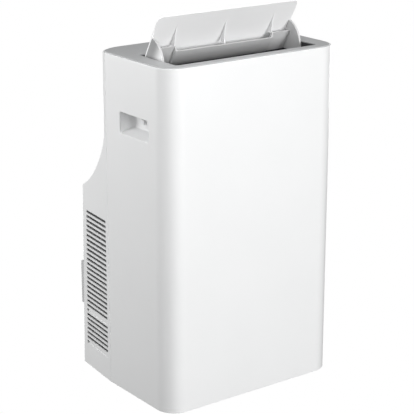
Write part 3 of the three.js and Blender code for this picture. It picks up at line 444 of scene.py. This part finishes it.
def front_casing():
    """One wall that runs round the front and both sides as far as the seam."""
    steps, inner_r, seam = 32, FRONT_R - WALL, SEAM - SEAM_GAP
    left, right = -HALF + FRONT_R, HALF - FRONT_R
    outer = arc(left, FRONT_R, FRONT_R, FRONT_R, 180, 270, steps)
    outer += arc(right, FRONT_R, FRONT_R, FRONT_R, 270, 360, steps)
    inner = arc(right, FRONT_R, inner_r, inner_r, 360, 270, steps)
    inner += arc(left, FRONT_R, inner_r, inner_r, 270, 180, steps)
    outline = [(-HALF, seam)] + outer + [(HALF, seam), (HALF - WALL, seam)] + inner + [(-HALF + WALL, seam)]
    shell = prism("front_casing_shell", "z", outline, 0, CASING_TOP)
    cut(shell, through_sides(rounded(*HANDLE_Y, *HANDLE_Z, HANDLE_R)))
    soften(shell, 0.8, 3)
    piece(shell, "root", "white_plastic", WHITE, "front_casing")


def swept_ring(outset, z):
    """The slim upper part's outline behind the front casing, grown by outset, at a given height."""
    rx, ry = REAR_RX + outset, REAR_RY + outset
    half, front = HALF + outset, SEAM - 60
    ring = [(-half, front), (half, front)]
    ring += arc(HALF - REAR_RX, SEAM, rx, ry, 0, 90, CORNER_STEPS)
    ring += arc(-HALF + REAR_RX, SEAM, rx, ry, 90, 180, CORNER_STEPS)
    return [(x, y, z) for x, y in ring]


HOUSING_R = 8  # the lower housing's rear corners


def housing_ring(z, inset, front):
    """The lower rear housing seen from above at a given height, moved inwards by inset."""
    half = HALF - inset / math.cos(TAPER)
    corner = HOUSING_R - inset
    cy = rear_wall_y(z) - inset - corner
    cx = side_wall_x(cy, half) - corner / math.cos(TAPER)
    right = arc(cx, cy, corner, corner, math.degrees(TAPER), 90, 8)
    left = [(-x, y) for x, y in reversed(right)]
    bend = SEAM + 0.2  # where the sides start to taper
    ring = [(-half, front), (half, front), (half, bend)] + right + left + [(-half, bend)]
    return [(x, y, z) for x, y in ring]


SWEEP_STEPS, SWEEP_ARC = 26, 80  # flats and degrees of the hollow's curve


def rear_body(name, inset, front, low, high):
    """The rear casing as a solid: the lower housing, cut by a curve that sweeps out of the slim part."""
    housing = loft(name, [housing_ring(low, inset, front), housing_ring(high, inset, front)])
    radius = SWEEP_R + inset
    rings = [swept_ring(200, low - PAST)]  # wider than the housing
    for step in range(SWEEP_STEPS + 1):
        angle = math.radians(SWEEP_ARC * (1 - step / SWEEP_STEPS))
        rings.append(swept_ring(SWEEP_R - radius * math.cos(angle), SWEEP_TOP - radius * math.sin(angle)))
    rings.append(swept_ring(-inset, high + PAST))
    return boolean(housing, loft("sweep", rings), "INTERSECT")


VENT_ROWS, VENT_PITCH, VENT_TOP, VENT_H = 29, 11.26, 372, 6.5
VENT_FRONT, VENT_MARGIN = 238, 21  # where slots start; from their ends to the back wall
BLANK_ROWS, SHORT_SLOT = (21, 28), 9  # rows that are open only at their rear end


def vent_slots():
    """Tools for the rows of slots in the lower housing's sides, from the top row down."""
    slots = []
    for row in range(VENT_ROWS):
        z = VENT_TOP - row * VENT_PITCH
        end = rear_wall_y(z) - VENT_MARGIN
        start = end - SHORT_SLOT if row in BLANK_ROWS else VENT_FRONT
        slots += through_sides(rounded(start, end, z - VENT_H / 2, z + VENT_H / 2, 1.2, 3))
        if row in BLANK_ROWS:
            slots += [shallow_slot(side, z, VENT_FRONT, start - 3) for side in (-1, 1)]
    return slots


def shallow_slot(side, z, front, rear):
    """A groove where a row of the vents is left closed."""
    near, far, depth, clear = side_wall_x(front), side_wall_x(rear), 0.5, 3
    outline = [(near - depth, front), (near + clear, front), (far + clear, rear), (far - depth, rear)]
    return prism("groove", "z", [(side * x, y) for x, y in outline], z - VENT_H / 2, z + VENT_H / 2)


def fitted(node, across, along):
    """The outline of a hole for a node, from its box's size on two axes, with a gap all round."""
    low, high = node_mm(node)
    return rounded(low[across] - GAP, high[across] + GAP, low[along] - GAP, high[along] + GAP, 1)


ROUND_HOLES = (  # node, radius, sides, front end of the tool
    ("exhaust_collar", 60.5, 120, SEAM + 10),
    ("drain_plug_upper", 7.3, 36, REAR - 30),
    ("drain_plug_lower", 7.3, 36, REAR - 30),
    ("cord_gland", 7, 36, REAR - 30),
)


def rear_casing():
    """The hollow body with the side vents and the openings in the back."""
    shell = rear_body("rear_casing_shell", 0, SEAM + SEAM_GAP, 0, CASING_TOP)
    boolean(shell, rear_body("inside", WALL, SEAM - 30, -PAST, CASING_TOP + PAST), "DIFFERENCE")
    tools = vent_slots()
    tools.append(prism("hole", "y", fitted("upper_grille", 0, 2), COLUMN - 8, COLUMN + PAST))
    tools.append(prism("hole", "y", fitted("lower_grille", 0, 2), REAR - 30, REAR + PAST))
    for node, radius, sides, front in ROUND_HOLES:
        low, high = node_mm(node)
        x, z = (low.x + high.x) / 2, (low.z + high.z) / 2
        tools.append(prism("hole", "y", circle(x, z, radius, sides), front, REAR + PAST))
    cut(shell, tools)
    weld(shell, 0.00002)
    soften(shell, 0.45, 2)
    piece(shell, "root", "white_plastic", WHITE, "rear_casing")


COVER_DEPTH, COVER_PLATE, COVER_R = 15, 3, 2.4  # skirt, plate and the radius of the edge
OUTLET = (-185, 185, 26, 161)  # the opening under the flap


def top_cover():
    """A plate with a rounded edge and a short skirt inside the casing."""
    rings = [[(x, y, TOP - COVER_DEPTH) for x, y in column_ring(RIM)]]
    for step in range(6):
        angle = math.radians(90 * step / 5)
        inset = RIM + COVER_R * (1 - math.cos(angle))
        rings.append([(x, y, TOP - COVER_R + COVER_R * math.sin(angle)) for x, y in column_ring(inset)])
    cover = loft("top_cover_plate", rings)
    under = prism("tool", "z", column_ring(RIM + 2), TOP - COVER_DEPTH - PAST, TOP - COVER_PLATE)
    outlet = prism("tool", "z", rounded(*OUTLET, 8, 10), TOP - 10, TOP + PAST)
    panel = prism("tool", "z", fitted("control_panel", 0, 1), TOP - 10, TOP + PAST)
    boolean(cover, under, "DIFFERENCE")
    cut(cover, [outlet, panel])
    weld(cover, 0.00002)
    soften(cover, 0.9, 3)
    piece(cover, "root", "grey_plastic", GREY, "top_cover")


CUP_BACK, CUP_TOP, CUP_R = 198.5, 648, 24  # back wall, top of the pocket, corners seen from above
CUP_LIP, CUP_WALL = 8, 2  # thickness in front of the pocket and round it
CUP_FLOOR = 16  # how far the floor rises towards the back
CUP_WINDOW = (117, 130, 611, 621)


def handle_cups():
    """Finger recesses: a rising floor, a pocket behind the wall above it and a window in the back."""
    (y0, y1), (z0, z1) = HANDLE_Y, HANDLE_Z
    outside = HALF - RIM
    over = outside + 1
    plan = [(over, y0), (over, y1)]
    plan += arc(CUP_BACK + CUP_R, y1 - CUP_R, CUP_R, CUP_R, 90, 180, 8)
    plan += arc(CUP_BACK + CUP_R, y0 + CUP_R, CUP_R, CUP_R, 180, 270, 8)
    section = [(over, z0), (outside, z0)] + arc(CUP_BACK + 6, z0 + CUP_FLOOR, 6, 6, 240, 180, 5)
    section += [(CUP_BACK, CUP_TOP), (outside - CUP_LIP, CUP_TOP), (outside - CUP_LIP, z1), (over, z1)]
    rim = rounded(y0 - 2.5, y1 + 2.5, z0 - 3, CUP_TOP + CUP_WALL, 6)
    for side, word in ((-1, "left"), (1, "right")):
        shell = prism("handle_cup_" + word, "x", rim, side * (CUP_BACK - CUP_WALL), side * outside)
        hollow = prism("tool", "y", [(side * x, z) for x, z in section], y0, y1)
        above = prism("plan", "z", [(side * x, y) for x, y in plan], z0 - PAST, CUP_TOP + PAST)
        boolean(hollow, above, "INTERSECT")
        near, far = side * (CUP_BACK - PAST), side * (CUP_BACK + PAST)
        cut(shell, [hollow, prism("window", "x", rounded(*CUP_WINDOW, 1, 3), near, far)])
        weld(shell, 0.00002)
        soften(shell, 0.8, 3)
        piece(shell, "root", "white_plastic", CUP, "handle_" + word)


# ---------------------------------------------------------------- outlet flap

# The flap is drawn shut, with its hinge line at zero.
FLAP_HALF, FLAP_FRONT, FLAP_TAIL = 183, -105, 22.5
FLAP_TOP = TOP - PIVOT.z
FLAP_UNDER = FLAP_TOP - 3
CHEEK_T, RIB_HALF = 5, 1.25  # a cheek's thickness and half a rib's
RIBS = (-128, 0, 128)
PIN_R, PIN_END = 3.7, 190.2
OVERLAP = 0.5  # how far the cheeks and ribs reach into the plate


def opened(target):
    """Turns a piece of the flap from its shut drawing to its open place."""
    drawn = Vector((0, FRONT_Y, BASE_Z))
    move = Matrix.Translation(HINGE) @ Matrix.Rotation(-OPEN, 4, "X") @ Matrix.Translation(-drawn)
    target.data.transform(move)
    return target


def cheek_outline():
    """A sector of a disc, which hangs from the plate's underside round the hinge."""
    cy, cz, r = 3, -5, 56.7
    start = 180 - math.degrees(math.asin((FLAP_UNDER - cz) / r))
    return [(14, FLAP_UNDER + OVERLAP)] + arc(cy, cz, r, r, start, 256, 20) + [(8, -20), (14, -7)]


def rib_outline():
    """A gusset whose free edge sweeps from the plate down to the guide."""
    free = [(-83 + 47 * t, FLAP_UNDER - 12.5 * t ** 1.6) for t in (i / 10 for i in range(11))]
    return [(-83, FLAP_UNDER + OVERLAP)] + free + [(-33, -8.4), (-31, FLAP_UNDER + OVERLAP)]


def flap():
    """The cover plate with its cheeks, hinge pins and ribs."""
    outline = rounded(-FLAP_HALF, FLAP_HALF, FLAP_FRONT, FLAP_TAIL, 11, 12)
    plate = prism("flap_plate", "z", outline, FLAP_UNDER, FLAP_TOP)
    tools = []
    for side in (-1, 1):
        tools.append(prism("cheek", "x", cheek_outline(), side * (FLAP_HALF - CHEEK_T), side * FLAP_HALF))
        tools.append(prism("pin", "x", circle(0, 0, PIN_R, 24), side * (FLAP_HALF - 1), side * PIN_END))
    tools += [prism("rib", "x", rib_outline(), at - RIB_HALF, at + RIB_HALF) for at in RIBS]
    stem = [(-33, 0), (-36, FLAP_UNDER - 12), (-29.5, -15.4), (-26, -15.4), (-26, 0)]
    tools.append(prism("stem", "x", stem, RIBS[1] - RIB_HALF, RIBS[1] + RIB_HALF))
    for tool in tools:
        boolean(plate, tool, "UNION")
    weld(plate)
    soften(plate, 0.6, 3)
    piece(plate, "flap", "flap_plastic", PALE, "flap_cover")
    plate.data.materials.append(INNER)
    plate.data.materials.append(CHEEK)
    # The cheeks' faces below the plate take the frame's grey; their outer faces take the painted shade that
    # darkens them towards the plate.
    for face in plate.data.polygons:
        height = (face.center.z - BASE_Z) / MM
        if abs(face.center.x) > (FLAP_HALF - CHEEK_T - 0.5) * MM and height < FLAP_UNDER - 0.1:
            outer = abs(face.normal.x) > 0.9 and face.normal.x * face.center.x > 0
            face.material_index = 2 if outer else 1
    opened(plate)


def guide_fillet(side, wall):
    """Rounds the corner between the middle strip's edge and an end wall."""
    radius, low, high = 8, Vector((-28.1, -17.4)), Vector((-35.8, -10.2))
    up = (high - low).normalized()
    back = Vector((up.y, -up.x)) * 2
    curve = [(0, 0), (radius, 0)]
    curve += [(radius - u, v) for u, v in arc(0, radius, radius, radius, 270, 360, 8)[1:]]
    rings = []
    for start in (low, low + back):
        rings.append([(side * (wall - across), *(start + up * rise)) for across, rise in curve])
    return loft("fillet", rings)


def flap_guide():
    """A middle strip in front of two side strips, joined by end walls under the outer ribs."""
    reach, wall, thick = FLAP_HALF - CHEEK_T - GAP, RIBS[2] + RIB_HALF, 2.2
    middle = [(-27.5, -16.9), (4, -14.2), (14, -11)]
    sides = [(-35.2, -9.8), (14, -9.8)]
    end = [(-36, -8.7), (-36.4, -10.9), (-28.6, -18), (4, -15.3), (14.6, -12), (14.6, -8.7)]
    blade = prism("flap_guide_blade", "x", ribbon(middle, thick), -wall + 1, wall - 1)
    for side in (-1, 1):
        boolean(blade, prism("end", "x", end, side * (wall - 2.5), side * wall), "UNION")
        boolean(blade, prism("side", "x", ribbon(sides, thick), side * (wall - 1), side * reach), "UNION")
        boolean(blade, guide_fillet(side, wall - 2), "UNION")
    weld(blade, 0.00005)
    soften(blade, 0.5, 2)
    piece(opened(blade), "flap", "flap_plastic", INNER, "flap_guide")


# ---------------------------------------------------------------- filters

MESH_T, MESH_EDGE = 0.6, 2  # a sheet's thickness and its distance from a filter frame's edge


def vent_meshes():
    """Woven sheets behind the side vents, just inside the casing's walls."""
    low, high = VENT_TOP - VENT_ROWS * VENT_PITCH, VENT_TOP + 8
    front, rear = VENT_FRONT - 4, rear_wall_y(high) - VENT_MARGIN + 6
    for side, word in ((-1, "left"), (1, "right")):
        line = [(side * (side_wall_x(y) - WALL - 0.8), y) for y in (front, rear)]
        sheet = prism("vent_mesh_" + word, "z", ribbon(line, MESH_T), low, high)
        piece(sheet, "root", "filter_mesh", MESH)


def filter_meshes():
    """The woven sheets that the two filter frames carry."""
    low, high = node_mm("upper_filter")
    middle, half = (low.y + high.y) / 2, MESH_T / 2
    outline = rectangle(low.x + MESH_EDGE, high.x - MESH_EDGE, middle - half, middle + half)
    upper = prism("upper_filter_mesh", "z", outline, low.z + MESH_EDGE, high.z - MESH_EDGE)
    piece(upper, "upper_intake", "filter_mesh", MESH)
    low, high = node_mm("lower_filter")
    inside = RIM + 1.25  # from the back wall's outside to the middle of the frame
    line = [(rear_wall_y(z) - inside, z) for z in (low.z + MESH_EDGE, high.z - MESH_EDGE)]
    lower = prism("lower_filter_mesh", "x", ribbon(line, MESH_T), low.x + MESH_EDGE, high.x - MESH_EDGE)
    piece(lower, "lower_intake", "filter_mesh", MESH)


# ---------------------------------------------------------------- button symbols

def bar(x, y, half_x, half_y):
    return rectangle(x - half_x, x + half_x, y - half_y, y + half_y)


def ring(x, y, r, start, end):
    """Part of a ring 0.6 mm wide."""
    inner = r - 0.6
    return arc(x, y, r, r, start, end, 24) + arc(x, y, inner, inner, end, start, 24)


def button_marks():
    """Plain symbols printed on the five buttons: on and off, less, more, mode and timer."""
    shapes = (
        lambda x, y: [ring(x, y, 2.5, 125, 415), bar(x, y + 2, 0.3, 1.3)],
        lambda x, y: [bar(x, y, 2.2, 0.35)],
        lambda x, y: [bar(x, y, 2.2, 0.35), bar(x, y + 1.3, 0.35, 0.9), bar(x, y - 1.3, 0.35, 0.9)],
        lambda x, y: [bar(x, y + 1.7, 2.6, 0.3), bar(x, y, 2.6, 0.3), bar(x, y - 1.7, 2.6, 0.3)],
        lambda x, y: [ring(x, y, 2.6, 0, 180), ring(x, y, 2.6, 180, 360), bar(x, y + 0.7, 0.25, 1),
                      bar(x + 0.8, y, 0.5, 0.25)],
    )
    for number, shape in enumerate(shapes, 1):
        node = f"button_{number}"
        low, high = node_mm(node)
        outlines = shape((low.x + high.x) / 2, (low.y + high.y) / 2)
        strokes = [prism("stroke", "z", outline, high.z - 0.05, high.z + 0.12) for outline in outlines]
        piece(merged(node + "_mark", strokes), node, "dark_plastic", MARK)


# ---------------------------------------------------------------- stage

LIGHT_AIM = Vector((0, 0, 0.42))
LIGHTS = (  # name, azimuth, elevation, distance, power
    ("rear", -130, 12, 2.6, 45),
    ("side", -60, 50, 2.6, 8),
    ("fill", -35, 12, 2.6, 14),
    ("high", -35, 50, 2.6, 9),
    ("key", 14, 12, 5, 183),
    ("top", 0, 90, 2.6, 28),
    ("right", 115, 1, 2.6, 15),
)


def add_light(name, azimuth, elevation, distance, power):
    """A square soft light that faces the machine."""
    data = bpy.data.lights.new(name, "AREA")
    data.size, data.energy = 0.38 * distance, power
    out = outward(azimuth, elevation)
    lamp = bpy.data.objects.new(name, data)
    lamp.location = LIGHT_AIM + out * distance
    lamp.rotation_mode = "QUATERNION"
    lamp.rotation_quaternion = (-out).to_track_quat("-Z", "Y")
    bpy.context.scene.collection.objects.link(lamp)


def seen_white(tree, dim, bright):
    """Mixes a dim shader with one that only the camera's own rays see."""
    rays = tree.nodes.new("ShaderNodeLightPath")
    mix = tree.nodes.new("ShaderNodeMixShader")
    tree.links.new(rays.outputs["Is Camera Ray"], mix.inputs["Fac"])
    tree.links.new(dim, mix.inputs[1])
    tree.links.new(bright, mix.inputs[2])
    return mix.outputs["Shader"]


def stage():
    """A white backdrop and floor that only the camera sees as bright, and the soft lights."""
    scene = bpy.context.scene
    scene.view_settings.view_transform = "Standard"
    world = bpy.data.worlds.new("studio")
    scene.world = world
    world.use_nodes = True
    tree = world.node_tree
    tree.nodes.clear()
    dim = add_node(tree, "ShaderNodeBackground", Color=(1, 1, 1, 1), Strength=0.03)
    bright = add_node(tree, "ShaderNodeBackground", Color=(1, 1, 1, 1), Strength=1.0)
    out = tree.nodes.new("ShaderNodeOutputWorld")
    tree.links.new(seen_white(tree, dim.outputs[0], bright.outputs[0]), out.inputs["Surface"])

    mesh = bpy.data.meshes.new("floor")
    reach = 12
    corners = [(-reach, -reach, 0), (reach, -reach, 0), (reach, reach, 0), (-reach, reach, 0)]
    mesh.from_pydata(corners, [], [(0, 1, 2, 3)])
    floor = bpy.data.objects.new("floor", mesh)
    scene.collection.objects.link(floor)
    material = bpy.data.materials.new("floor")
    material.use_nodes = True
    tree = material.node_tree
    tree.nodes.clear()
    matt = add_node(tree, "ShaderNodeBsdfDiffuse", Color=(0.08, 0.08, 0.08, 1))
    glow = add_node(tree, "ShaderNodeEmission", Color=(1, 1, 1, 1), Strength=1)
    out = tree.nodes.new("ShaderNodeOutputMaterial")
    tree.links.new(seen_white(tree, matt.outputs[0], glow.outputs[0]), out.inputs["Surface"])
    mesh.materials.append(material)

    for light in LIGHTS:
        add_light(*light)


CASTERS = ("front_left", "front_right", "rear_left", "rear_right")
DRESSED = (  # material, width of the rounded edges, nodes
    (WHITE, 0.4, ["upper_grille", "lower_grille"]),
    (INNER, 0.4, ["cord_hook"]),
    (MESH, 0.2, ["upper_filter", "lower_filter"]),
    (DARK, 0.4, ["base_pan", "exhaust_collar", "blower_wheel", "condenser_fan"]),
    (DARK, 0.4, ["vane_link"] + [f"vane_{i}" for i in range(1, 5)]),
    (PANEL, 0.4, ["control_panel"]),
    (LENS, 0.3, ["display_lens"]),
    (BUTTON, 0.6, [f"button_{i}" for i in range(1, 6)]),
    (LINER, 0.4, ["outlet_duct", "louvre_motor", "blower_scroll"]),
    (RUBBER, 0.4, ["drain_plug_upper", "drain_plug_lower", "cord_gland"]),
    (RUBBER, 0.4, [f"compressor_foot_{i}" for i in range(1, 4)]),
    (DARK, 0.5, ["caster_fork_" + place for place in CASTERS]),
    (WHEEL, 0.6, ["caster_wheel_" + place for place in CASTERS]),
    (STEEL, 0.3, ["caster_axle_" + place for place in CASTERS]),
    (FOAM, 0.8, ["drip_tray", "condenser_scroll", "exhaust_duct", "control_box"]),
    (FINS, 0.3, ["evaporator_coil", "condenser_coil"]),
    (STEEL, 0.8, ["blower_motor", "condenser_motor"]),
    (BLACK_STEEL, 1.5, ["compressor", "accumulator"]),
    (COPPER, 0.2, ["suction_pipe"]),
)

front_casing()
rear_casing()
top_cover()
handle_cups()
flap()
flap_guide()
vent_meshes()
filter_meshes()
button_marks()
for material, width, nodes in DRESSED:
    for node in nodes:
        dress(node, material, width)
stage()
